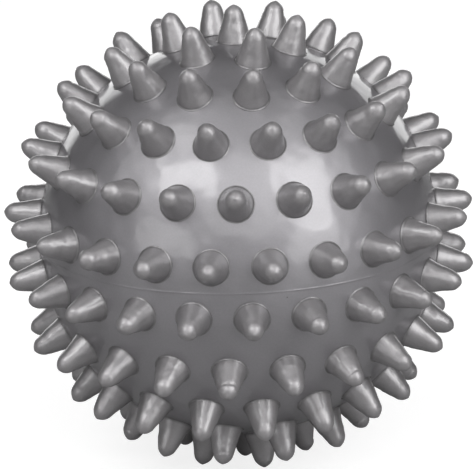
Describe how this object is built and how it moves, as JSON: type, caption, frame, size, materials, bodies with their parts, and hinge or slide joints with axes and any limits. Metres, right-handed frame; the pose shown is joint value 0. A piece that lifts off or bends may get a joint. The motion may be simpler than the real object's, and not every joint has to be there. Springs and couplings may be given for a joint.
{
  "type": "sensory ball",
  "caption": "Hollow soft ball covered in rows of blunt tapered spikes, with a moulded line round its middle and a flush plug valve for air.",
  "frame": {"origin": "centre of the ball", "axes": "+Z through the two pole spikes, square to the mould line; -Y towards the front that the picture shows; the valve is on the +Y side"},
  "size_m": [0.0992, 0.099, 0.1],
  "materials": {
    "skin": "soft silver-grey moulded plastic, pearly and half glossy",
    "spikes": "soft silver-grey moulded plastic, pearly and half glossy",
    "valve_housing": "soft grey moulded rubber, satin",
    "valve_plug": "dark grey moulded rubber, satin"
  },
  "bodies": {
    "ball": {"upper_skin": "skin", "lower_skin": "skin", "top_spike": "spikes", "bottom_spike": "spikes", "upper_row_1": "spikes", "upper_row_2": "spikes", "upper_row_3": "spikes", "upper_row_4": "spikes", "upper_row_5": "spikes", "lower_row_1": "spikes", "lower_row_2": "spikes", "lower_row_3": "spikes", "lower_row_4": "spikes", "lower_row_5": "spikes", "valve_housing": "valve_housing"},
    "plug": {"valve_plug": "valve_plug"}
  },
  "joints": [
    {"name": "plug_slide", "type": "slide", "parent": "ball", "child": "plug", "axis": [0, 0.9689, 0.2474], "range_m": [0, 0.009]}
  ]
}
